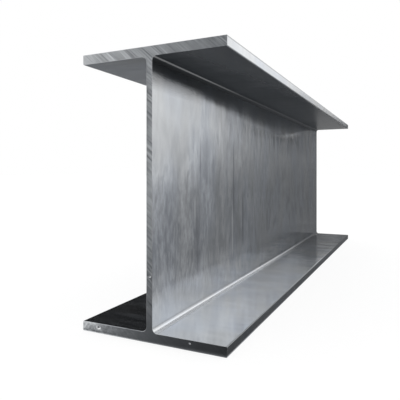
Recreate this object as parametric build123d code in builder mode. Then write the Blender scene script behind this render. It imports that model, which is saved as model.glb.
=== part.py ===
"""Short cut length of a hot-rolled steel H-beam with parallel flanges.

The beam lies along X, the flanges are level and the web stands upright. The origin is
at the middle of the underside of the lower flange, and lengths are in millimetres.
"""

import os

from build123d import *

# Rolled section
section_depth = 258.0
flange_width = 146.0
flange_thickness = 9.1
web_thickness = 6.1
root_radius = 4.5
toe_radius = 0.8

# Cut length, and the bevel that the file leaves on the sawn edges
beam_length = 720.0
edge_break = 0.5

# The section is drawn upright at one end, with its lower edge on the ground, and drawn out
# to the other end. The root radii join the web to the flanges, and the toe radii round the
# long edges of the flanges.
with BuildPart() as h_beam:
    with BuildSketch(Plane.YZ.offset(-beam_length / 2)) as section:
        with Locations((0, section_depth / 2)):
            Rectangle(web_thickness, section_depth)
        with Locations((0, 0)):
            Rectangle(flange_width, flange_thickness, align=(Align.CENTER, Align.MIN))
        with Locations((0, section_depth)):
            Rectangle(flange_width, flange_thickness, align=(Align.CENTER, Align.MAX))
        corners_by_column = section.vertices().group_by(Axis.X)
        fillet(corners_by_column[1] + corners_by_column[-2], radius=root_radius)
        corners_by_column = section.vertices().group_by(Axis.X)
        fillet(corners_by_column[0] + corners_by_column[-1], radius=toe_radius)
    extrude(amount=beam_length)

    # Both ends are sawn square, and the sharp edges of the cuts are taken off
    faces_along_beam = h_beam.faces().sort_by(Axis.X)
    chamfer(faces_along_beam[0].edges() + faces_along_beam[-1].edges(), length=edge_break)

h_beam.part.label = "h_beam"

os.makedirs("parts", exist_ok=True)
export_step(h_beam.part, "parts/h_beam.step")
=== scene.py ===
# %% [markdown]
# A short length of rolled steel H-beam, lit like a product photograph. The imported part is the
# fixed frame: it gives the beam's box in metres, and everything below is built inside it. The
# box is noted now.

# %% Load the imported part
import math
from collections import namedtuple

import bpy
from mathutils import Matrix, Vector, geometry, noise


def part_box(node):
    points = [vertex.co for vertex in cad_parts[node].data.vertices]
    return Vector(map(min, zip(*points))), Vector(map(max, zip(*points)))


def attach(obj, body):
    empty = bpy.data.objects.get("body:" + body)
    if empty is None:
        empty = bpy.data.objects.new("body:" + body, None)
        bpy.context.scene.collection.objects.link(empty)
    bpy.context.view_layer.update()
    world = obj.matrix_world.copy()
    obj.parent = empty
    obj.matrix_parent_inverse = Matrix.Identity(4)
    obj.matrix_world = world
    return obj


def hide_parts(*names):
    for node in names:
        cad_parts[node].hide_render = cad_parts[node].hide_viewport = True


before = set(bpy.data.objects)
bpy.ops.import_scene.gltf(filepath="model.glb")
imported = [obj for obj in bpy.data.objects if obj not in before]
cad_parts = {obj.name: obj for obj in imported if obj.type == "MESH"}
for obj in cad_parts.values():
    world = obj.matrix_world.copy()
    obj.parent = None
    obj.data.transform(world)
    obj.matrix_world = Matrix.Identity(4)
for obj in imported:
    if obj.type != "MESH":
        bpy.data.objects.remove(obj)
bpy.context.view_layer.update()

beam_low, beam_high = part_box("h_beam")
beam_length, beam_width, beam_depth = beam_high - beam_low
print("beam", round(beam_length, 4), round(beam_width, 4), round(beam_depth, 4))

# %% [markdown]
# The photograph is taken close to the near end, a little to the right of the beam and at about
# half its height, with the camera held level. So the upright edges stay upright, and a small
# shift of the lens, not a tilt, sets how high the beam sits in the frame. With the camera placed
# first, every later step can be judged in the right view.

# %% Camera
camera_data = bpy.data.cameras.new("camera")
camera_data.sensor_width = 36.0
camera_data.lens = 39.831
camera_data.shift_y = -0.0651
camera = bpy.data.objects.new("camera", camera_data)
camera.location = (-0.6866, -0.2066, 0.1468)
turned_from_bar = 25.778
look_from_y_axis = math.radians(turned_from_bar - 90)
camera.rotation_euler = (math.radians(90), 0, look_from_y_axis)
bpy.context.collection.objects.link(camera)
bpy.context.scene.camera = camera
bpy.context.scene.view_settings.view_transform = "Standard"
print("camera at", tuple(round(place, 3) for place in camera.location))

# %% [markdown]
# A mill rolls the beam from one hot bar, so its section is the same all along: two level
# flanges, an upright web, a large radius where they meet and a small one on the long edges.
# Extruding a curve would give that shape too, but here the section is drawn as points, each
# with its outward direction, because the next steps move the skin by fractions of a millimetre.

# %% Section outline
flange_thickness = 0.0091
web_thickness = 0.0061
root_radius = 0.0045
toe_radius = 0.0008
root_steps = 10
toe_steps = 4
flat_spacing = 0.006
beside_radius = 0.001


def section_corners():
    """The corners as (place, radius, steps), anticlockwise when Y points right and Z up."""
    toe = beam_width / 2
    web = web_thickness / 2
    lower = flange_thickness
    upper = beam_depth - flange_thickness
    right_half = [(toe, 0), (toe, lower), (web, lower), (web, upper), (toe, upper), (toe, beam_depth)]
    left_half = [(-y, z) for y, z in reversed(right_half)]
    corners = []
    for y, z in right_half + left_half:
        is_root = abs(y) < toe
        radius, steps = (root_radius, root_steps) if is_root else (toe_radius, toe_steps)
        corners.append((Vector((y, z)), radius, steps))
    return corners


def places_along(flat_length):
    """Places along a flat: close to its ends, so the radii stay crisp, and even between."""
    inner = flat_length - 2 * beside_radius
    count = max(1, round(inner / flat_spacing))
    return [beside_radius + inner * step / count for step in range(count + 1)]


def rounded_outline():
    """Points round the section, with the outward direction and the kind of place at each."""
    corners = section_corners()
    outline = []
    for number, (corner, radius, steps) in enumerate(corners):
        before = corners[number - 1][0]
        after, after_radius, _ = corners[(number + 1) % len(corners)]
        way_in = (corner - before).normalized()
        way_out = (after - corner).normalized()
        turn = way_in.x * way_out.y - way_in.y * way_out.x
        middle = corner + (way_out - way_in) * radius
        for step in range(steps + 1):
            angle = math.radians(90) * step / steps
            spoke = way_in * math.sin(angle) - way_out * math.cos(angle)
            outline.append((middle + spoke * radius, spoke * turn, "toe" if turn > 0 else "root"))
        flat_start = corner + way_out * radius
        flat_length = (after - corner).length - radius - after_radius
        outward = Vector((way_out.y, -way_out.x))
        for place in places_along(flat_length):
            outline.append((flat_start + way_out * place, outward, "flat"))
    return outline


outline = rounded_outline()
print("points round the section", len(outline))

# %% [markdown]
# Seen close, the skin of a rolled beam is not a perfect plane: the rolls leave waves less than
# a tenth of a millimetre deep and a few centimetres long. They don't show as shape, but they
# make reflections waver. All moves go into the metal, so the beam keeps its size.

# %% Rolling waves
wave_depth = 0.00009
wave_lengths = Vector((0.030, 0.055, 0.055))


def rolling_wave(spot):
    """How far the skin lies below its true place at a spot of the beam."""
    across = Vector([place / size for place, size in zip(spot, wave_lengths)])
    return wave_depth * (0.5 + 0.5 * noise.noise(across))


web_middle = Vector((0, -web_thickness / 2, beam_depth / 2))
print("wave at the middle of the web", rolling_wave(web_middle))

# %% [markdown]
# The bar was sawn to length and the sharp edges of the cuts were knocked off by hand. So the
# skin turns over into the cut with a small, uneven radius, since handling rubbed some stretches
# more. A bevel modifier would round every edge alike, so the last rings of the skin are drawn
# in one by one, each point by its own amount.

# %% Rings of skin from end to end
station_spacing = 0.004
edge_radius = 0.00022
edge_steps = 4
edge_wear_size = 0.009
edge_wear_share = 0.45
wear_step_per_end = 3.7
flat_rim = 0.00012


def edge_radius_at(spot, end):
    """The radius of the rubbed edge, which differs from place to place."""
    patch = Vector((end * wear_step_per_end, spot.x / edge_wear_size, spot.y / edge_wear_size))
    return edge_radius * (1.0 + edge_wear_share * noise.noise(patch))


def ring_at_end(end, step):
    """A ring of the turned-over edge at the near end (-1) or the far end (1)."""
    angle = math.radians(90) * step / edge_steps
    ring = []
    for spot, outward, _ in outline:
        radius = edge_radius_at(spot, end)
        flat = spot - outward * radius * (1 - math.cos(angle))
        x = end * (beam_length / 2 - radius * (1 - math.sin(angle)))
        skin = Vector((x, flat.x, flat.y))
        depth = rolling_wave(skin) * math.cos(angle)
        ring.append(skin - Vector((0, outward.x, outward.y)) * depth)
    return ring


def rim_ring(end):
    """A ring on the cut itself, close to the edge, which keeps the cut flat up to the edge."""
    ring = []
    for spot, outward, _ in outline:
        flat = spot - outward * (edge_radius_at(spot, end) + flat_rim)
        ring.append(Vector((end * beam_length / 2, flat.x, flat.y)))
    return ring


def ring_along(x):
    """A ring of the plain skin at one place along the beam."""
    ring = []
    for spot, outward, _ in outline:
        skin = Vector((x, spot.x, spot.y))
        ring.append(skin - Vector((0, outward.x, outward.y)) * rolling_wave(skin))
    return ring


plain_length = beam_length - 4 * edge_radius
first_station = -beam_length / 2 + 2 * edge_radius
station_count = round(plain_length / station_spacing)
stations = [first_station + plain_length * step / station_count for step in range(station_count + 1)]
rings = [rim_ring(-1)]
rings += [ring_at_end(-1, step) for step in range(edge_steps, -1, -1)]
rings += [ring_along(x) for x in stations]
rings += [ring_at_end(1, step) for step in range(edge_steps + 1)]
rings += [rim_ring(1)]
print("rings", len(rings), "points", len(rings) * len(outline))

# %% [markdown]
# The cut itself was made by a saw whose blade ran down across the section at a slant, and its
# teeth left fine parallel furrows with a deeper one here and there. Towards one lower corner
# the furrows bend into arcs, where the cut ran out. A few small nicks come from handling. A
# bump map could draw these lines, but as real relief they also show in the bare mesh. So a
# fine net of triangles, pressed in along the furrows, will fill each end.

# %% Saw furrows on the cut ends
saw_slant = math.radians(42)
furrow_pitch = 0.0028
furrow_length = 0.050
furrow_depth = 0.00009
deep_furrow_pitch = 0.011
deep_furrow_length = 0.120
deep_furrow_share = 1.6
deep_furrow_layer = 5.0
nicks = [(0.0556, 0.0052, 0.0015), (-0.0393, 0.0063, 0.0006), (-0.0002, 0.0576, 0.0007)]
nick_stretch = 1.6
nick_steepness = 0.7
run_out = Vector((0.073, 0.0))
run_out_reach = 0.045
run_out_bend = 0.016


def across_furrows(y, z):
    """Place across the furrows: straight over most of the cut, bent near the run-out corner."""
    straight = z * math.cos(saw_slant) - y * math.sin(saw_slant)
    from_corner = (Vector((y, z)) - run_out).length
    bend = max(0.0, 1 - from_corner / run_out_reach)
    return straight + run_out_bend * bend * bend


def from_nick(y, z, nick):
    """Distance from the middle of a nick in its own radii; it is longer across than it is high."""
    nick_y, nick_z, radius = nick
    return math.hypot((y - nick_y) / nick_stretch, z - nick_z) / radius


def nick_share(y, z):
    """How much of a nick is at a place: 1 in its middle, falling to 0 around it."""
    return max(math.exp(-from_nick(y, z, nick) ** 2) for nick in nicks)


def nick_depth(y, z):
    return sum(nick_steepness * nick[2] * math.exp(-from_nick(y, z, nick) ** 2) for nick in nicks)


def cut_depth(y, z):
    """How far the saw and later knocks went below the plane of the cut."""
    across = across_furrows(y, z)
    along = y * math.cos(saw_slant) + z * math.sin(saw_slant)
    fine_place = Vector((across / furrow_pitch, along / furrow_length, 0.0))
    deep_place = Vector((across / deep_furrow_pitch, along / deep_furrow_length, deep_furrow_layer))
    fine = 0.5 + 0.5 * noise.noise(fine_place)
    deep = max(0.0, noise.noise(deep_place))
    return furrow_depth * (fine + deep * deep_furrow_share) + nick_depth(y, z)


row_depths = [cut_depth(millimetre / 1000, flange_thickness / 2) for millimetre in range(60)]
print("deepest of a row of furrows", max(row_depths))

# %% [markdown]
# Blender's own triangle filler for flat outlines, the Delaunay function in mathutils, joins the
# last ring of the skin to a net of points spread over the cut. The net stands well clear of the
# edge, so no thin slivers appear there.

# %% Nets over the two cuts
net_spacing = 0.0011
net_row_share = 0.866
net_nudge = 0.15
nudge_layer = 0.37
net_margin = 0.0007
web_margin_share = 0.6
nick_reach = 2.0
nick_rings = 7
points_in_first_ring = 6


def within_section(y, z):
    """Whether a place on the cut is inside the metal, clear of its edges."""
    side = abs(y)
    height = min(z, beam_depth - z)
    web = web_thickness / 2
    if side < web - edge_radius - net_margin * web_margin_share:
        return height > edge_radius + net_margin
    if edge_radius + net_margin < height < flange_thickness - edge_radius - net_margin:
        return side < beam_width / 2 - edge_radius - net_margin
    away = math.hypot(side - web - root_radius, height - flange_thickness - root_radius)
    in_root = side < web + root_radius and height < flange_thickness + root_radius
    return in_root and height > edge_radius + net_margin and away > root_radius + edge_radius + net_margin


def near_nick(y, z):
    return any(from_nick(y, z, nick) < nick_reach for nick in nicks)


def nick_points():
    """Finer rings of points over each nick, so that it is a clean hollow."""
    points = []
    for nick_y, nick_z, nick_radius in nicks:
        for ring in range(nick_rings):
            radius = nick_radius * nick_reach * ring / nick_rings
            count = points_in_first_ring * ring or 1
            for step in range(count):
                angle = math.tau * step / count
                y = nick_y + nick_stretch * radius * math.cos(angle)
                z = nick_z + radius * math.sin(angle)
                if within_section(y, z):
                    points.append(Vector((y, z)))
    return points


def net_points():
    """Points spread over the cut in staggered rows, moved a little off their places."""
    rows = int(beam_depth / (net_spacing * net_row_share))
    columns = int(beam_width / net_spacing) + 1
    points = []
    for row in range(rows + 1):
        z = row * net_spacing * net_row_share
        shift = 0.5 * (row % 2)
        for column in range(columns + 1):
            y = (column + shift) * net_spacing - beam_width / 2
            if within_section(y, z) and not near_nick(y, z):
                nudge = noise.noise_vector(Vector((y / net_spacing, z / net_spacing, nudge_layer)))
                points.append(Vector((y, z)) + nudge.xy * net_spacing * net_nudge)
    return points + nick_points()


net = net_points()
print("points in each net", len(net))

# %% [markdown]
# Rings and nets now become one closed mesh. Every strip of the skin gets the number of its
# finish: upright faces, level faces and roots differ in how they were rolled, and the corner
# under the right half of the upper flange gets a finish of painted shade.

# %% One mesh for the whole beam
finish_order = ["rolled_upright_faces", "rolled_level_faces", "rolled_roots", "shaded_corner", "sawn_ends"]
vertices = [spot for ring in rings for spot in ring]
faces = []
face_finish = []
around = len(outline)
fill_inside = 1
weld_distance = 1e-7


def strip_finish(step):
    """The finish of the strip that starts at one point of the outline."""
    spot, outward, kind = outline[step]
    _, next_outward, next_kind = outline[(step + 1) % around]
    middle = outward + next_outward
    is_root = kind == "root" and next_kind == "root"
    is_toe = kind == "toe" and next_kind == "toe"
    faces_down = is_root or middle.y < -abs(middle.x)
    # the corner under the right half of the upper flange gets painted shade
    if faces_down and not is_toe and spot.x < 0 and beam_depth / 2 < spot.y < beam_depth:
        return "shaded_corner"
    if is_root:
        return "rolled_roots"
    is_level = abs(middle.y) > abs(middle.x) and not is_toe
    return "rolled_level_faces" if is_level else "rolled_upright_faces"


strip_numbers = [finish_order.index(strip_finish(step)) for step in range(around)]
for ring_number in range(len(rings) - 1):
    start = ring_number * around
    for step in range(around):
        following = (step + 1) % around
        faces.append((start + step, start + following, start + around + following, start + around + step))
        on_cut = ring_number in (0, len(rings) - 2)
        face_finish.append(finish_order.index("sawn_ends") if on_cut else strip_numbers[step])


def fill_cut(end, ring_start):
    """Fills one cut with its net and presses the furrows into it."""
    edge = [Vector((spot.y, spot.z)) for spot in vertices[ring_start:ring_start + around]]
    edge_loop = [list(range(around))]
    filled = geometry.delaunay_2d_cdt(edge + net, [], edge_loop, fill_inside, weld_distance)
    places, _, triangles, sources = filled[:4]
    index_of = {}
    for number, place in enumerate(places):
        known = [source for source in sources[number] if source < around]
        if known:
            index_of[number] = ring_start + known[0]
            continue
        x = end * (beam_length / 2 - cut_depth(end * -place.x, place.y))
        index_of[number] = len(vertices)
        vertices.append(Vector((x, place.x, place.y)))
    for triangle in triangles:
        corners = [index_of[number] for number in triangle]
        faces.append(tuple(corners if end > 0 else reversed(corners)))
        face_finish.append(finish_order.index("sawn_ends"))
    return len(triangles)


skin_points = len(vertices)
near_count = fill_cut(-1, 0)
far_count = fill_cut(1, (len(rings) - 1) * around)
beam_mesh = bpy.data.meshes.new("h_beam_rolled")
beam_mesh.from_pydata(vertices, [], faces)
beam_mesh.polygons.foreach_set("material_index", face_finish)
beam_mesh.polygons.foreach_set("use_smooth", [True] * len(faces))
print("triangles", 2 * (len(faces) - near_count - far_count) + near_count + far_count)

# %% [markdown]
# Three numbers are stored with every point of the mesh for the finishes to read. One says where
# an edge has been rubbed by handling. One marks the crest of a root, which gets a painted
# highlight, except on the near start of the lower left root. The last says how deep in a nick a
# point lies. An image texture could say the same, but a stored number needs no unwrapping and
# follows the shape.

# %% Numbers stored for the finishes
crest_facing_up = (50, 91)
crest_facing_down = (48, 68)
crest_highlight_skipped_up_to = -0.30
rubbed_reach = 1.2 * edge_radius


def on_crest(outward, kind):
    """Whether a point of the outline lies on the part of a root that faces mostly up or down."""
    turned = math.degrees(math.asin(min(1.0, abs(outward.y))))
    crest_from, crest_to = crest_facing_up if outward.y > 0 else crest_facing_down
    return kind == "root" and crest_from < turned < crest_to


rubbed = []
painted_crest_highlight = []
nicked = []
for number, spot in enumerate(vertices):
    if number >= skin_points:
        rubbed.append(0.0)
        painted_crest_highlight.append(0.0)
        nicked.append(nick_share(spot.y if spot.x < 0 else -spot.y, spot.z))
        continue
    _, outward, kind = outline[number % around]
    from_cut = beam_length / 2 - abs(spot.x)
    at_edge = kind == "toe" or from_cut < rubbed_reach
    rubbed.append(1.0 if at_edge else 0.0)
    # the painted crest highlight is left out on the near start of the lower left root
    highlight_skipped = spot.y > 0 and spot.x < crest_highlight_skipped_up_to and outward.y > 0
    painted_crest_highlight.append(1.0 if on_crest(outward, kind) and not highlight_skipped else 0.0)
    nicked.append(0.0)
for name, values in (("rubbed", rubbed), ("painted_crest_highlight", painted_crest_highlight), ("nicked", nicked)):
    beam_mesh.attributes.new(name, "FLOAT", "POINT").data.foreach_set("value", values)
beam_mesh.validate()
beam = bpy.data.objects.new("h_beam_rolled", beam_mesh)
bpy.context.collection.objects.link(beam)
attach(beam, "root")
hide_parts("h_beam")
print("rubbed points", round(sum(rubbed)), "crest points", round(sum(painted_crest_highlight)))

# %% [markdown]
# Finishes are written as sums of patterns. A small class wraps a node's output so that Python's
# own plus, minus and times add Math nodes, and its node method makes any other node. Colours are
# mixed with the Mix node, because a Math node would turn them grey. Links drawn by hand in the
# node editor would do the same, but a sum is easier to read.

# %% Shader arithmetic
class Field:
    """A node's output that can be used in sums, such as 1 - mask."""

    def __init__(self, socket):
        self.socket = socket

    def node(self, kind, settings, inputs, output=0):
        """Adds a node beside this one: first its settings, then its sockets' values or links."""
        tree = self.socket.id_data
        made = tree.nodes.new(kind)
        for name, setting in settings.items():
            if name == "stops":
                ramp = made.color_ramp.elements
                ramp.remove(ramp[1])
                for number, (place, colour) in enumerate(setting):
                    stop = ramp[0] if number == 0 else ramp.new(place)
                    stop.position = place
                    stop.color = (*colour, 1)
            else:
                setattr(made, name, setting)
        for name, given in inputs.items():
            if isinstance(given, Field):
                tree.links.new(given.socket, made.inputs[name])
            else:
                made.inputs[name].default_value = given
        return Field(made.outputs[output])

    def sum_node(self, operation, first, second):
        return self.node("ShaderNodeMath", {"operation": operation}, {0: first, 1: second})

    def __add__(self, other):
        return self.sum_node("ADD", self, other)

    def __radd__(self, other):
        return self.sum_node("ADD", other, self)

    def __sub__(self, other):
        return self.sum_node("SUBTRACT", self, other)

    def __rsub__(self, other):
        return self.sum_node("SUBTRACT", other, self)

    def __mul__(self, other):
        return self.sum_node("MULTIPLY", self, other)

    def __rmul__(self, other):
        return self.sum_node("MULTIPLY", other, self)

    def stretched(self, per_metre):
        """This place, counted in features per metre along X, Y and Z."""
        return self.node("ShaderNodeVectorMath", {"operation": "MULTIPLY"}, {0: self, 1: per_metre})

    def mottle(self, detail, roughness, distortion=0.0):
        """Cloudy noise at this place, from about 0.2 to 0.8."""
        sockets = {"Vector": self, "Scale": 1.0, "Detail": detail, "Roughness": roughness}
        sockets["Distortion"] = distortion
        return self.node("ShaderNodeTexNoise", {}, sockets, "Fac")

    def spread(self, low, high):
        """This value as a share of the way from low to high, held between 0 and 1."""
        sockets = {"Value": self, "From Min": low, "From Max": high}
        return self.node("ShaderNodeMapRange", {"clamp": True}, sockets)

    def tint(self, at_zero, at_one):
        """The colour between two others, or over another, where this is 0 and where it is 1."""
        sockets = {0: self}
        for number, colour in ((6, at_zero), (7, at_one)):
            sockets[number] = colour if isinstance(colour, Field) else (*colour, 1.0)
        return self.node("ShaderNodeMix", {"data_type": "RGBA"}, sockets, 2)


def new_finish(name):
    """A new material, its main shader, and the place on the object as a Field."""
    material = bpy.data.materials.new(name)
    material.use_nodes = True
    nodes = material.node_tree.nodes
    place = nodes.new("ShaderNodeTexCoord").outputs["Object"]
    return material, nodes["Principled BSDF"], Field(place)


def feed(shader, socket, field):
    shader.id_data.links.new(field.socket, shader.inputs[socket])


print("shader arithmetic ready")

# %% [markdown]
# A finish asks where on the beam it is. The object's own coordinates say so in metres, so patterns
# stay at real size. Three dot products give the place along the beam, the height and the place to
# the right of the web. The pairs of numbers in the next cells are such places, and spread makes a
# soft step between the two.

# %% Places on the beam
BeamPlace = namedtuple("BeamPlace", ["point", "along", "height", "aside"])


def along_direction(point, direction):
    dotted = {0: point, 1: direction}
    return point.node("ShaderNodeVectorMath", {"operation": "DOT_PRODUCT"}, dotted, "Value")


def beam_place(point):
    along = along_direction(point, (1.0, 0.0, 0.0))
    height = along_direction(point, (0.0, 0.0, 1.0))
    aside = along_direction(point, (0.0, -1.0, 0.0))
    return BeamPlace(point, along, height, aside)


def distance_from(field, value):
    return field.node("ShaderNodeMath", {"operation": "ABSOLUTE"}, {0: field - value})


def stored(point, name):
    return point.node("ShaderNodeAttribute", {"attribute_name": name}, {}, "Fac")


print("a place on the beam has", BeamPlace._fields)

# %% [markdown]
# The skin is bare rolled steel: grey, faintly blue, and shiny enough to mirror its surroundings
# softly. The rolls and the wire brush left streaks across the bar, upright on the web and crosswise
# on the flanges, from flecks to smudges as wide as a hand. One noise with many octaves would mix
# all sizes evenly, so each size is a layer of its own, counted in features per metre along X, Y and
# Z. Half way up the web, where slings and gloves touch it, the streaks are much stronger.

# %% Streaked steel
neutral_dark = (0.52, 0.535, 0.55)
neutral_light = (0.745, 0.76, 0.775)
cool_dark = (0.505, 0.53, 0.57)
cool_light = (0.725, 0.755, 0.795)
handled_contrast = 6.5
handled_top = (0.21, 0.12)
handled_foot = (0.03, 0.07)
handled_along = (-0.04, -0.26)


def streak_layers(point):
    return {
        "flecks": point.stretched((290.0, 60.0, 85.0)).mottle(2.0, 0.6),
        "dashes": point.stretched((130.0, 26.0, 38.0)).mottle(3.0, 0.65, 0.3),
        "streaks": point.stretched((62.0, 16.0, 22.0)).mottle(3.0, 0.55, 0.4),
        "blotches": point.stretched((32.0, 19.0, 19.0)).mottle(3.0, 0.6, 0.6),
        "smudges": point.stretched((14.0, 12.0, 12.0)).mottle(3.0, 0.55, 0.5),
        "cool_patches": point.stretched((22.0, 10.0, 10.0)).mottle(1.0, 0.5),
    }


def handled_share(place):
    """1 where slings and gloves touch the web, fading out above and below."""
    return place.height.spread(*handled_top) * place.height.spread(*handled_foot)


def streaked_steel(place, layers, contrast):
    """The clean skin: light and dark streaks of neutral and of faintly blue steel."""
    patchy_dashes = 0.5 + (layers["dashes"] - 0.5) * layers["smudges"].spread(0.40, 0.60)
    tones = 0.45 * patchy_dashes + 0.25 * layers["streaks"] + 0.30 * layers["smudges"]
    handled = handled_share(place) * place.along.spread(*handled_along)
    gain = contrast + handled_contrast * contrast * handled
    lightness = 0.5 + gain * (tones - 0.5)
    neutral = lightness.tint(neutral_dark, neutral_light)
    cool = lightness.tint(cool_dark, cool_light)
    return layers["cool_patches"].spread(0.40, 0.60).tint(neutral, cool)


print("streaks are", 1 + handled_contrast, "times as strong where the web is handled")

# %% [markdown]
# Painted shade lies along the foot of the web towards the far end, and painted shade darkens the
# sheltered strip below the upper flange towards the near end. Grime from hands and slings sits in
# the streaks half way up. Each is a mask of soft steps, by which a dark colour is laid over the
# steel.

# %% Painted shade and grime
foot_shade_colour = (0.30, 0.31, 0.33)
foot_shade_beside_web = (0.024, 0.008)
foot_shade_top = (0.040, 0.012)
foot_shade_along = (-0.12, 0.04)
under_flange_shade_colour = (0.12, 0.127, 0.134)
under_flange_shade_foot = (0.215, 0.236)
under_flange_shade_fade = (0.216, 0.240)
under_flange_shade_top = (0.2487, 0.2465)
under_flange_shade_along = (-0.12, -0.32)
under_flange_shade_rise = 0.004
under_flange_shade_rise_along = (-0.28, -0.35)
grime_colour = (0.33, 0.345, 0.37)


def under_flange_shade_share(place):
    """Painted shade below the upper flange; its lower border rises a little at the near end."""
    sheltered = place.height.spread(*under_flange_shade_foot) * place.height.spread(*under_flange_shade_top)
    sheltered = sheltered * place.along.spread(*under_flange_shade_along)
    lowered = place.height - under_flange_shade_rise * place.along.spread(*under_flange_shade_rise_along)
    return sheltered * lowered.spread(*under_flange_shade_fade)


def steel_with_shade_and_grime(place, layers, clean, under_flange_shade):
    # painted shade in the crease at the foot of the web, towards the far end
    foot_shade = distance_from(place.aside, 0.0).spread(*foot_shade_beside_web) * place.height.spread(*foot_shade_top)
    foot_shade = foot_shade * place.along.spread(*foot_shade_along)
    shaded = (0.45 * foot_shade).tint(clean, foot_shade_colour)
    # painted shade below the upper flange, towards the near end
    with_under_flange_shade = (0.8 * under_flange_shade).tint(shaded, under_flange_shade_colour)
    grime_streaks = 0.50 * layers["dashes"] + 0.30 * layers["blotches"] + 0.2 * layers["streaks"]
    grime = handled_share(place) * grime_streaks.spread(0.48, 0.58)
    return (0.55 * grime).tint(with_under_flange_shade, grime_colour)


print("soot reaches down to", under_flange_shade_foot[0], "m")

# %% [markdown]
# A few longer scrapes stand out on the right face of the web, and low down towards the near end it
# is covered with short light and dark flecks. A scrape is a place along the web, a lowest and a
# highest end and a half width. The flecks are the finest layer's high and low values.

# %% Scrapes and flecks
scrape_fade = 0.012
dark_scrapes = [(-0.168, 0.100, 0.178, 0.0040), (-0.264, 0.140, 0.178, 0.0030)]
dark_scrapes += [(-0.271, 0.050, 0.098, 0.0110), (-0.135, 0.060, 0.120, 0.0050)]
dark_scrape_colour = (0.25, 0.26, 0.285)
light_scrapes = [(-0.172, 0.048, 0.104, 0.0034), (-0.277, 0.100, 0.116, 0.0030)]
light_scrape_colour = (0.90, 0.91, 0.92)
fleck_strength = 0.27
fleck_top = (0.15, 0.10)
fleck_foot = (0.015, 0.045)
fleck_along = (-0.18, -0.28)
dark_fleck_colour = (0.27, 0.28, 0.30)
light_fleck_colour = (0.83, 0.845, 0.86)


def scraped(place, scrapes):
    """1 on the scrapes of the web's right face, else 0."""
    total = 0.0
    for middle, lowest, highest, half_width in scrapes:
        above = place.height.spread(lowest - scrape_fade, lowest + scrape_fade)
        below = place.height.spread(highest + scrape_fade, highest - scrape_fade)
        total = total + above * below * distance_from(place.along, middle).spread(half_width, 0.0)
    return place.aside.spread(0.0, 0.001) * total


def marked_steel(place, flecks, steel, on_web):
    share = fleck_strength * on_web * place.height.spread(*fleck_top) * place.height.spread(*fleck_foot)
    share = share * place.along.spread(*fleck_along)
    dark_flecked = (share * flecks.spread(0.50, 0.38)).tint(steel, dark_fleck_colour)
    flecked = (share * flecks.spread(0.50, 0.62)).tint(dark_flecked, light_fleck_colour)
    dark_scraped = (0.7 * scraped(place, dark_scrapes)).tint(flecked, dark_scrape_colour)
    return (0.9 * scraped(place, light_scrapes)).tint(dark_scraped, light_scrape_colour)


print("scrapes", len(dark_scrapes), "dark and", len(light_scrapes), "light")

# %% [markdown]
# Edges show most what a beam has been through. Handling rubs them lighter, while the upper edge of
# each toe keeps a thin dark line. The crests of the roots get a pale, nearly matt painted highlight
# towards the near end and painted shade towards the far end. Near the cut the web gets a strip of
# painted light, pale and nearly matt, in the fading painted shade.

# %% Edges, painted crest highlights and the painted light strip
rubbed_colour = (0.67, 0.68, 0.695)
toe_line_colour = (0.26, 0.27, 0.28)
upper_toe_line = (0.2563, 0.2572)
lower_toe_line = (0.0079, 0.0085)
above_lower_toe = (0.0100, 0.0095)
crest_highlight_colour = (0.69, 0.715, 0.745)
crest_highlight_along = (0.08, -0.15)
crest_shade_colour = (0.14, 0.145, 0.15)
crest_shade_along = (-0.08, 0.14)
painted_light_strip_colour = (0.50, 0.51, 0.52)


def edged_steel(place, dashes, steel, on_toe):
    rub = stored(place.point, "rubbed") * (0.2 + 0.3 * dashes)
    rubbed_steel = rub.tint(steel, rubbed_colour)
    lower_line = place.height.spread(*lower_toe_line) * place.height.spread(*above_lower_toe)
    toe_line = 0.85 * on_toe * (place.height.spread(*upper_toe_line) + lower_line)
    return toe_line.tint(rubbed_steel, toe_line_colour)


def crest_shares(place):
    """How much painted highlight and how much painted shade the crest of a root gets."""
    crest = stored(place.point, "painted_crest_highlight")
    bright = crest * place.along.spread(*crest_highlight_along)
    return bright, 0.85 * crest * place.along.spread(*crest_shade_along)


def painted_light_strip_share(place):
    """The strip of painted light in the painted shade below the upper flange, and a spot above it beside
    the cut.
    """
    strip = place.height.spread(0.219, 0.228) * place.height.spread(0.2365, 0.231)
    spot = place.height.spread(0.226, 0.230) * place.height.spread(0.2375, 0.234)
    near_cut = place.along.spread(-0.338, -0.352)
    return 0.5 * place.along.spread(-0.24, -0.29) * strip + 0.25 * near_cut * spot


print("toe line from", upper_toe_line[0], "m")

# %% [markdown]
# Below the upper flange the web sways by a few degrees in one long wave, as a thin web does when
# it cools between thick flanges. A bump is enough for that, because only the reflections show it.
# Then the layers go over one another: clean steel, painted shade and grime, marks, edges, painted
# crest highlights and the strip of painted light. Upright faces, level faces and roots share this
# finish and differ in brushing, softness, contrast and ridges.

# %% Rolled skin
sway_per_metre = -7.3
sway_start = -1.315
sway_heights = (0.200, 0.244)
mirror_grey = (0.72, 0.72, 0.72, 1.0)


def swaying(place):
    """The long wave of the web below the upper flange, from -1 to 1."""
    turn = sway_per_metre * place.along + sway_start
    wave = turn.node("ShaderNodeMath", {"operation": "SINE"}, {0: turn})
    below_flange = place.height.spread(*sway_heights)
    return wave * (below_flange * below_flange * (3 - 2 * below_flange))


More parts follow.
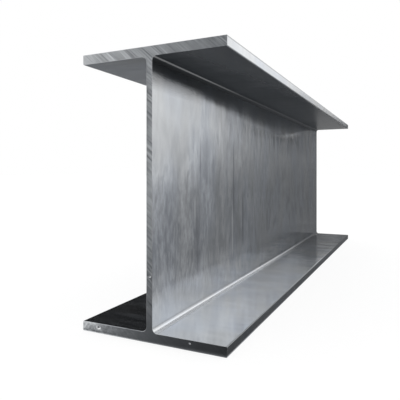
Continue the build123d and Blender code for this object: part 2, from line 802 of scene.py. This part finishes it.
def rolled_finish(name, brushing, softness, contrast, ridge_height, sway_height):
    """Streaked steel; brushing stretches reflections sideways and softness blurs them."""
    material, skin, point = new_finish(name)
    place = beam_place(point)
    upright = 1.0 if sway_height else 0.0
    layers = streak_layers(point)
    # painted shade below the upper flange, also read for the roughness
    under_flange_shade = under_flange_shade_share(place)
    painted_light_strip = upright * painted_light_strip_share(place)
    crest_highlight_share, crest_shade = crest_shares(place)

    clean = streaked_steel(place, layers, contrast)
    shaded_and_grimy_steel = steel_with_shade_and_grime(place, layers, clean, under_flange_shade)
    marked = marked_steel(place, layers["flecks"], shaded_and_grimy_steel, upright)
    edged = edged_steel(place, layers["dashes"], marked, upright)
    # painted shade on the crests of the roots towards the far end
    shaded = crest_shade.tint(edged, crest_shade_colour)
    # painted light: a pale, nearly matt strip in the painted shade below the upper flange
    matt = painted_light_strip.tint(shaded, painted_light_strip_colour)
    # painted highlight along the crests of the roots towards the near end
    feed(skin, "Base Color", crest_highlight_share.tint(matt, crest_highlight_colour))

    worn = (0.5 * layers["dashes"] + 0.5 * layers["streaks"]).spread(0.36, 0.64)
    skin_roughness = softness + 0.07 * worn - 0.08 * under_flange_shade
    feed(skin, "Roughness", skin_roughness + 0.15 * crest_highlight_share + 0.2 * painted_light_strip)
    feed(skin, "Metallic", 1 - 0.9 * crest_highlight_share - 0.8 * painted_light_strip)
    skin.inputs["Anisotropic"].default_value = brushing
    skin.inputs["Specular Tint"].default_value = mirror_grey
    ridges = point.stretched((48.0, 22.0, 22.0)).mottle(2.0, 0.55)
    raised = ridge_height * ridges + sway_height * swaying(place)
    relief = {"Strength": 1.0, "Distance": 1.0, "Height": raised}
    feed(skin, "Normal", point.node("ShaderNodeBump", {}, relief, "Normal"))
    print(name, "nodes", len(material.node_tree.nodes))
    return material


beam_mesh.materials.append(rolled_finish("rolled_upright_faces", 0.6, 0.13, 2.4, 0.0003, 0.0023))
beam_mesh.materials.append(rolled_finish("rolled_level_faces", 0.0, 0.10, 2.1, 0.00015, 0.0))
beam_mesh.materials.append(rolled_finish("rolled_roots", 0.0, 0.14, 1.3, 0.00015, 0.0))

# %% [markdown]
# The corner under the right half of the upper flange is painted shade: a matt blue-black, so that
# corner stays dark whatever it faces. It is blackest in the corner itself, lighter grey towards the
# far end and the toe, carries a painted highlight along the crest of the root, and is polished
# towards the near end of the flange, where the bar was gripped.

# %% Painted shade in the corner
corner_shade_dark = (0.047, 0.053, 0.059)
corner_shade_light = (0.066, 0.072, 0.079)
lighter_corner_shade = (0.16, 0.167, 0.175)
deepest_corner_shade = (0.02, 0.022, 0.024)
polished_patch = (0.10, 0.106, 0.113)
far_crest_highlight = (0.13, 0.134, 0.138)
near_crest_highlight = (0.37, 0.377, 0.384)
grip_slant = (-0.142, -1.0, 0.0)
grip_border = (0.085, 0.125)


def shaded_corner_finish(name):
    """Matt black painted shade, with a painted highlight on the crest and a polished patch near one end.
    """
    material, corner_shader, point = new_finish(name)
    place = beam_place(point)
    blotches = point.stretched((34.0, 22.0, 22.0)).mottle(3.0, 0.6, 0.5)
    streaks = point.stretched((75.0, 11.0, 11.0)).mottle(3.0, 0.55, 0.5)
    shiny = (along_direction(point, grip_slant) + 0.03 * blotches).spread(*grip_border)
    tone = (0.5 * blotches + 0.5 * streaks).spread(0.35, 0.65)
    # painted shade under the right half of the upper flange, mottled
    black = tone.tint(corner_shade_dark, corner_shade_light)
    # the painted shade is lighter towards the far end and the toe
    shade_lightening = place.along.spread(-0.10, 0.16) * place.aside.spread(-0.01, 0.06)
    lightened_shade = (0.5 * shade_lightening).tint(black, lighter_corner_shade)
    # deepest painted shade in the corner itself
    in_corner = place.along.spread(-0.02, -0.36) * place.height.spread(0.2487, 0.2460)
    deepened_shade = in_corner.tint(lightened_shade, deepest_corner_shade)
    polished = shiny.tint(deepened_shade, polished_patch)
    # painted highlight along the crest of the root, pale towards the near end, dark towards the far end
    crest = place.along.spread(-0.14, -0.25).tint(far_crest_highlight, near_crest_highlight)
    feed(corner_shader, "Base Color", stored(point, "painted_crest_highlight").tint(polished, crest))
    feed(corner_shader, "Metallic", shiny)
    feed(corner_shader, "Roughness", 0.34 - 0.18 * shiny)
    corner_shader.inputs["Specular IOR Level"].default_value = 0.05
    print(name, "nodes", len(material.node_tree.nodes))
    return material


beam_mesh.materials.append(shaded_corner_finish("shaded_corner"))

# %% [markdown]
# A fresh cut is duller and rougher than the skin, and its furrows catch the light as fine lines.
# The net already carries the deeper ones, and the finish adds the finer lines between them in the
# same slanting direction. A noise that is drawn out along the lines gives them: thin ones where it
# passes its middle value, gathered in clusters, and closer furrows on the narrow end of the web.

# %% Saw lines
sawn_steel, cut, point = new_finish("sawn_ends")
place = beam_place(point)
across_lines = along_direction(point, (0.0, -math.sin(saw_slant), math.cos(saw_slant)))
along_lines = along_direction(point, (0.0, math.cos(saw_slant), math.sin(saw_slant)))
line_width = 0.09
line_strength = 0.42
web_furrow_strength = 2.0


def saw_noise(per_metre, along_per_metre, start, detail, roughness):
    """Noise drawn out along the saw lines; start picks another part of it."""
    sockets = {"X": across_lines * per_metre, "Y": along_lines * along_per_metre, "Z": start}
    return point.node("ShaderNodeCombineXYZ", {}, sockets).mottle(detail, roughness)


def thin_lines(per_metre, along_per_metre, start):
    """1 on a line, where the noise passes its middle value, and 0 between lines."""
    pattern = saw_noise(per_metre, along_per_metre, start, 1.0, 0.5)
    return distance_from(pattern, 0.5).spread(line_width, 0.0)


light_lines = thin_lines(470.0, 11.0, 1.0)
dark_lines = thin_lines(520.0, 10.0, 4.0)
clusters = saw_noise(55.0, 20.0, 0.0, 2.0, 0.5).spread(0.32, 0.52)
fainter_low_down = 0.3 + 0.7 * place.height.spread(0.015, 0.06)
scores = line_strength * fainter_low_down * clusters * (light_lines - dark_lines)
web_furrows = saw_noise(720.0, 40.0, 9.0, 1.0, 0.6)
web_end = distance_from(place.aside, 0.0).spread(0.0055, 0.0035)
web_end = web_end * place.height.spread(0.016, 0.035) * place.height.spread(0.246, 0.232)
web_scores = web_end * (web_furrow_strength * (web_furrows - 0.5))
print("saw lines at a slant of", round(math.degrees(saw_slant)), "degrees")

# %% [markdown]
# The cut is brighter towards its left side, which is painted light, speckled in the lower corner
# where the saw ran out, and darker towards the lower right, which is painted shade. The nicks show
# a bright side and a dark bottom, which is painted shade in the hollow.

# %% Sawn ends
shaded_cut_dark = (0.162, 0.17, 0.178)
shaded_cut_light = (0.515, 0.534, 0.553)
lit_cut_dark = (0.26, 0.27, 0.28)
lit_cut_light = (0.74, 0.76, 0.78)
lower_right_cut_shade_colour = (0.07, 0.075, 0.08)
nick_bright = (0.90, 0.91, 0.92)
nick_bottom_shade = (0.12, 0.124, 0.13)
speck_strength = 3.6

grain = point.stretched((900.0, 900.0, 900.0)).mottle(2.0, 0.6)
patches = point.stretched((40.0, 40.0, 40.0)).mottle(3.0, 0.6, 0.4)
specks = point.stretched((210.0, 210.0, 210.0)).mottle(3.0, 0.65, 0.6)
# painted light: the cut is lighter towards its left side
painted_light_side = place.aside.spread(-0.01, -0.075)
run_out_corner = painted_light_side * place.height.spread(0.04, 0.01)
mottling = 0.4 * (grain - 0.5) + 0.4 * (patches - 0.5)
mottling = mottling + speck_strength * run_out_corner * (specks - 0.5)
saw_lines = 0.5 + scores + web_scores + mottling

# copies of the cut's colours in painted shade and in painted light, mixed by the side
shaded_cut = saw_lines.tint(shaded_cut_dark, shaded_cut_light)
lit_cut = saw_lines.tint(lit_cut_dark, lit_cut_light)
clean_cut = painted_light_side.tint(shaded_cut, lit_cut)
# painted shade, darker towards the lower right of the cut
lower_right_cut_shade = (1 - place.height.spread(0.0, 0.12)) * (place.aside + 0.02 * patches).spread(-0.056, 0.045)
cut_with_lower_right_shade = (0.75 * lower_right_cut_shade).tint(clean_cut, lower_right_cut_shade_colour)
nicked_share = stored(point, "nicked")
nick_side = nicked_share.spread(0.15, 0.45).tint(cut_with_lower_right_shade, nick_bright)
# painted shade in the bottom of each nick
feed(cut, "Base Color", nicked_share.spread(0.62, 0.9).tint(nick_side, nick_bottom_shade))
feed(cut, "Roughness", 0.28 + 0.1 * patches)
cut.inputs["Metallic"].default_value = 1.0
fine_relief = {"Strength": 0.4, "Distance": 0.0002, "Height": saw_lines}
feed(cut, "Normal", point.node("ShaderNodeBump", {}, fine_relief, "Normal"))
beam_mesh.materials.append(sawn_steel)
print("finishes", [material.name for material in beam_mesh.materials] == finish_order)

# %% [markdown]
# The beam stands on a white studio floor. White paint alone would come out grey in this light, so
# part of the floor glows for the camera and for reflections. The rest is matt paint, which still
# takes a soft shadow.

# %% White floor
def seen_rays(tree):
    """A Field that is 1 for rays from the camera and for those that metal or glass sends on."""
    path = tree.nodes.new("ShaderNodeLightPath")
    seen = Field(path.outputs["Is Camera Ray"]) + Field(path.outputs["Is Glossy Ray"])
    seen = seen + Field(path.outputs["Is Transmission Ray"])
    return seen.spread(0.0, 1.0)


def rectangle(first, opposite):
    """The corners of a rectangle from two opposite ones."""
    return [first, (opposite[0], first[1]), opposite, (first[0], opposite[1])]


def lying(height, outline):
    return [(x, y, height) for x, y in outline]


white_share = 0.65
floor_glow = 1.25
floor_grey = (0.8, 0.8, 0.8, 1.0)
white = (1.0, 1.0, 1.0, 1.0)
floor_mesh = bpy.data.meshes.new("studio_floor")
floor_reach = 30.0
floor_corners = lying(0, rectangle((-floor_reach, -floor_reach), (floor_reach, floor_reach)))
floor_mesh.from_pydata(floor_corners, [], [(0, 1, 2, 3)])
floor = bpy.data.objects.new("studio_floor", floor_mesh)
bpy.context.collection.objects.link(floor)
floor_paint = bpy.data.materials.new("studio_floor")
floor_paint.use_nodes = True
floor_tree = floor_paint.node_tree
floor_tree.nodes.remove(floor_tree.nodes["Principled BSDF"])
seen = seen_rays(floor_tree)
matt = seen.node("ShaderNodeBsdfDiffuse", {}, {"Color": floor_grey})
glow = seen.node("ShaderNodeEmission", {}, {"Color": white, "Strength": floor_glow})
mixed = seen.node("ShaderNodeMixShader", {}, {0: seen * white_share, 1: matt, 2: glow})
floor_tree.links.new(mixed.socket, floor_tree.nodes["Material Output"].inputs["Surface"])
floor_mesh.materials.append(floor_paint)
print("floor", 2 * floor_reach, "m wide")

# %% [markdown]
# A mirror-like metal shows little but its surroundings, so these matter as much as its own
# colour. The world is white for the camera and for reflections, while all other rays get a
# slightly lower, even light.

# %% White surroundings
room_brightness = 0.8
world = bpy.data.worlds.new("studio")
world.use_nodes = True
bpy.context.scene.world = world
world_tree = world.node_tree
seen = seen_rays(world_tree)
room_light = seen.node("ShaderNodeBackground", {}, {"Color": white, "Strength": room_brightness})
backdrop = seen.node("ShaderNodeBackground", {}, {"Color": white, "Strength": 1.0})
mixed = seen.node("ShaderNodeMixShader", {}, {0: seen, 1: room_light, 2: backdrop})
world_tree.links.new(mixed.socket, world_tree.nodes["World Output"].inputs["Surface"])
print("room light", room_brightness, "of the white that is seen")

# %% [markdown]
# One large softbox stands ahead and to the right, above the beam. Along a straight bar every
# reflection keeps its slant to the bar, so only what lies roughly ahead of the beam shows in
# its long faces, and the softbox is put there.

# %% Softbox
softbox_data = bpy.data.lights.new("softbox", "AREA")
softbox_data.shape = "RECTANGLE"
softbox_data.size = 1.0
softbox_data.size_y = 0.75
softbox_brightness = 0.40
softbox_data.energy = math.pi * softbox_brightness * softbox_data.size * softbox_data.size_y
softbox = bpy.data.objects.new("softbox", softbox_data)
softbox.location = (1.5, -0.82, 0.95)
aim = Vector((0, 0, 0.15)) - softbox.location
softbox.rotation_euler = aim.to_track_quat("-Z", "Y").to_euler()
softbox.visible_camera = False
bpy.context.collection.objects.link(softbox)
print("softbox power", round(softbox_data.energy, 2))

# %% [markdown]
# White all round would make the metal look flat, so, as on a real set, grey and black cards stand
# just outside the picture and give the reflections their dark parts. They show only in
# reflections and cast no shadow. A picture of a room could do the same, but cards can be moved
# one by one, until each dark part of the metal has its cause.

# %% Making a card
card_red_loss = 0.03
card_blue_gain = 0.045
along_bar = (1.0, 0.0, 0.0)
to_left = (0.0, 1.0, 0.0)
upward = (0.0, 0.0, 1.0)


def card_colour(grey):
    """A grey that is a little cool when dark and neutral when white."""
    cool = 1 - grey
    return grey * (1 - card_red_loss * cool), grey, grey * (1 + card_blue_gain * cool)


def standing(x, outline):
    return [(x, y, z) for y, z in outline]


def card_paper(name, direction, greys, middle):
    """A glowing paper with a grey for places along a direction, or for distances from a middle."""
    paper = bpy.data.materials.new(name)
    paper.use_nodes = True
    tree = paper.node_tree
    tree.nodes.remove(tree.nodes["Principled BSDF"])
    spot = Field(tree.nodes.new("ShaderNodeTexCoord").outputs["Object"])
    if middle:
        ends = {0: spot, 1: middle}
        measure = spot.node("ShaderNodeVectorMath", {"operation": "DISTANCE"}, ends, "Value")
    else:
        measure = along_direction(spot, direction)
    low, high = greys[0][0], greys[-1][0]
    stops = [((measured - low) / (high - low), card_colour(grey)) for measured, grey in greys]
    share = measure.spread(low, high)
    shade = share.node("ShaderNodeValToRGB", {"stops": stops}, {"Fac": share}, "Color")
    glow = shade.node("ShaderNodeEmission", {}, {"Color": shade, "Strength": 1.0})
    tree.links.new(glow.socket, tree.nodes["Material Output"].inputs["Surface"])
    return paper


def reflection_card(name, corners, direction, greys, middle=None):
    """A flat card that shows only in reflections."""
    mesh = bpy.data.meshes.new(name)
    mesh.from_pydata(corners, [], [tuple(range(len(corners)))])
    mesh.materials.append(card_paper(name, direction, greys, middle))
    card = bpy.data.objects.new(name, mesh)
    bpy.context.collection.objects.link(card)
    card.visible_camera = False
    card.visible_diffuse = False
    card.visible_shadow = False
    print(name, "corners", len(corners), "greys", len(greys))


# %% [markdown]
# The lower half of the web and the lower toe mirror the floor at the right. A grey sheet lies
# there, lighter further out, with two narrow strips close to the beam's foot. Each lies a hair
# above the next, so no two surfaces coincide.

# %% Cards on the floor
sheet_height = 0.001
foot_height = 0.0012
strip_height = 0.0014
before_cut = -0.3625

sheet = [(before_cut, -6), (6, -6), (6, 0.05), (1.4, 0.05), (1.4, 4), (before_cut, 4)]
greys = [(-0.8, 0.25), (-0.5, 0.19), (-0.25, 0.21), (-0.08, 0.23), (0.06, 0.25), (0.1, 0.29), (0.14, 0.31)]
greys += [(0.18, 0.44), (0.21, 0.37), (0.26, 0.34), (0.4, 0.45), (0.7, 0.53), (1.2, 0.6)]
reflection_card("floor_card", lying(sheet_height, sheet), (-0.38, -0.92, 0.0), greys)

sheet = rectangle((before_cut, -0.0735), (0.6, -0.092))
greys = [(-0.36, 0.08), (-0.2, 0.13), (0.05, 0.14), (0.36, 0.16)]
reflection_card("foot_card", lying(foot_height, sheet), along_bar, greys)

sheet = rectangle((before_cut, -0.0915), (0.6, -0.122))
greys = [(-0.2, 0.52), (-0.09, 0.42), (0.0, 0.37), (0.08, 0.31), (0.19, 0.26), (0.33, 0.22), (0.6, 0.2)]
reflection_card("toe_floor_card", lying(strip_height, sheet), along_bar, greys)

# %% [markdown]
# The upper half of the web mirrors what stands ahead and to the right, low over the floor. Two
# grey cards stand there, and a strip just before them is nearly black: its slanting outline is the
# far part of the dark band below the upper flange. At the left a soft dark disc stands in white,
# for the left half of the beam, and a small card stands just beyond the far end.

# %% Cards ahead of the beam
ahead = 5.0
just_before = 4.99
beyond_far_end = 0.7

sheet = [(-1.6, 0), (-1.6, 1.05), (-1.3, 0.92), (-1.15, 0.76), (-1.0, 0.72), (-0.88, 0.74)]
sheet += [(-0.78, 0.8), (-0.7, 0.84), (0.0, 0.84), (0.5, 0.9), (1.0, 1.1), (1.0, 0)]
greys = [(-1.6, 0.22), (0.5, 0.2), (1.0, 0.12)]
reflection_card("front_card", standing(ahead, sheet), to_left, greys)

sheet = [(-2.2, 1.1), (-2.2, 1.03), (-2.05, 0.93), (-1.85, 0.75), (-1.62, 0.58), (-1.42, 0.43)]
sheet += [(-1.15, 0.38), (-1.0, 0.54), (-0.97, 0.72), (-1.12, 0.82), (-1.25, 0.9), (-1.45, 1.0)]
sheet += [(-1.6, 1.05)]
greys = [(0.4, 0.18), (0.5, 0.14), (0.6, 0.11), (0.7, 0.09), (0.85, 0.08), (1.1, 0.075)]
reflection_card("dark_strip", standing(just_before, sheet), upward, greys)

sheet = [(-1.6, 0), (-1.6, 1.05), (-2.4, 1.15), (-3.2, 1.25), (-5.0, 1.25), (-5.0, 0)]
greys = [(1.7, 0.22), (2.0, 0.27), (2.5, 0.37), (2.8, 0.46), (3.13, 0.6), (3.5, 0.74)]
greys += [(4.2, 0.9), (4.7, 1.0)]
reflection_card("right_card", standing(ahead, sheet), (0.0, -1.0, 1.4), greys)

sheet = rectangle((1.4, 0), (6.7, 4.6))
greys = [(0.0, 0.02), (1.1, 0.02), (1.5, 0.15), (2.0, 0.55), (2.5, 1.0)]
reflection_card("left_card", standing(ahead, sheet), None, greys, middle=(ahead, 4.35, 2.15))

sheet = rectangle((-0.125, 0), (0.0, 0.165))
greys = [(-0.125, 0.2), (0.0, 0.2)]
reflection_card("near_card", standing(beyond_far_end, sheet), to_left, greys)

# %% [markdown]
# Nearer the camera, the dark band mirrors a long strip that hangs at the right, well above the
# beam. The near cut faces the camera, so it mirrors the floor before it and a card behind the
# camera, grey at the right and white at the left.

# %% Cards beside the beam and behind the camera
beside = -1.5
behind_camera = -1.4
cut_floor_end = -0.45

strip = [(x, beside, z) for x, z in rectangle((-0.3, 0.79), (6, 1.03))]
greys = [(-3.7, 0.2), (-3.2, 0.24), (-2.5, 0.34), (-2.0, 0.46), (-1.5, 0.72), (-1.1, 0.84)]
greys += [(-0.6, 0.94), (-0.1, 1.0)]
reflection_card("side_card", strip, (-1.0, 0.0, 2.0), greys)

sheet = rectangle((cut_floor_end, -3), (before_cut, 0.3))
greys = [(-0.1, 0.08), (0.0, 0.29), (0.05, 0.37), (0.068, 0.8), (0.08, 1.0)]
reflection_card("end_floor_card", lying(sheet_height, sheet), to_left, greys)

sheet = rectangle((-2.5, -3), (cut_floor_end, 1.5))
greys = [(-0.1, 0.15), (0.0, 0.25), (0.15, 0.5), (0.3, 0.65), (0.6, 0.8), (1.0, 1.0)]
reflection_card("back_floor_card", lying(sheet_height, sheet), to_left, greys)

sheet = rectangle((-3.0, 0), (1.0, 2.0))
greys = [(-3.0, 0.3), (0.35, 0.42), (0.58, 0.5), (0.72, 1.0), (1.0, 1.0)]
reflection_card("back_card", standing(behind_camera, sheet), to_left, greys)
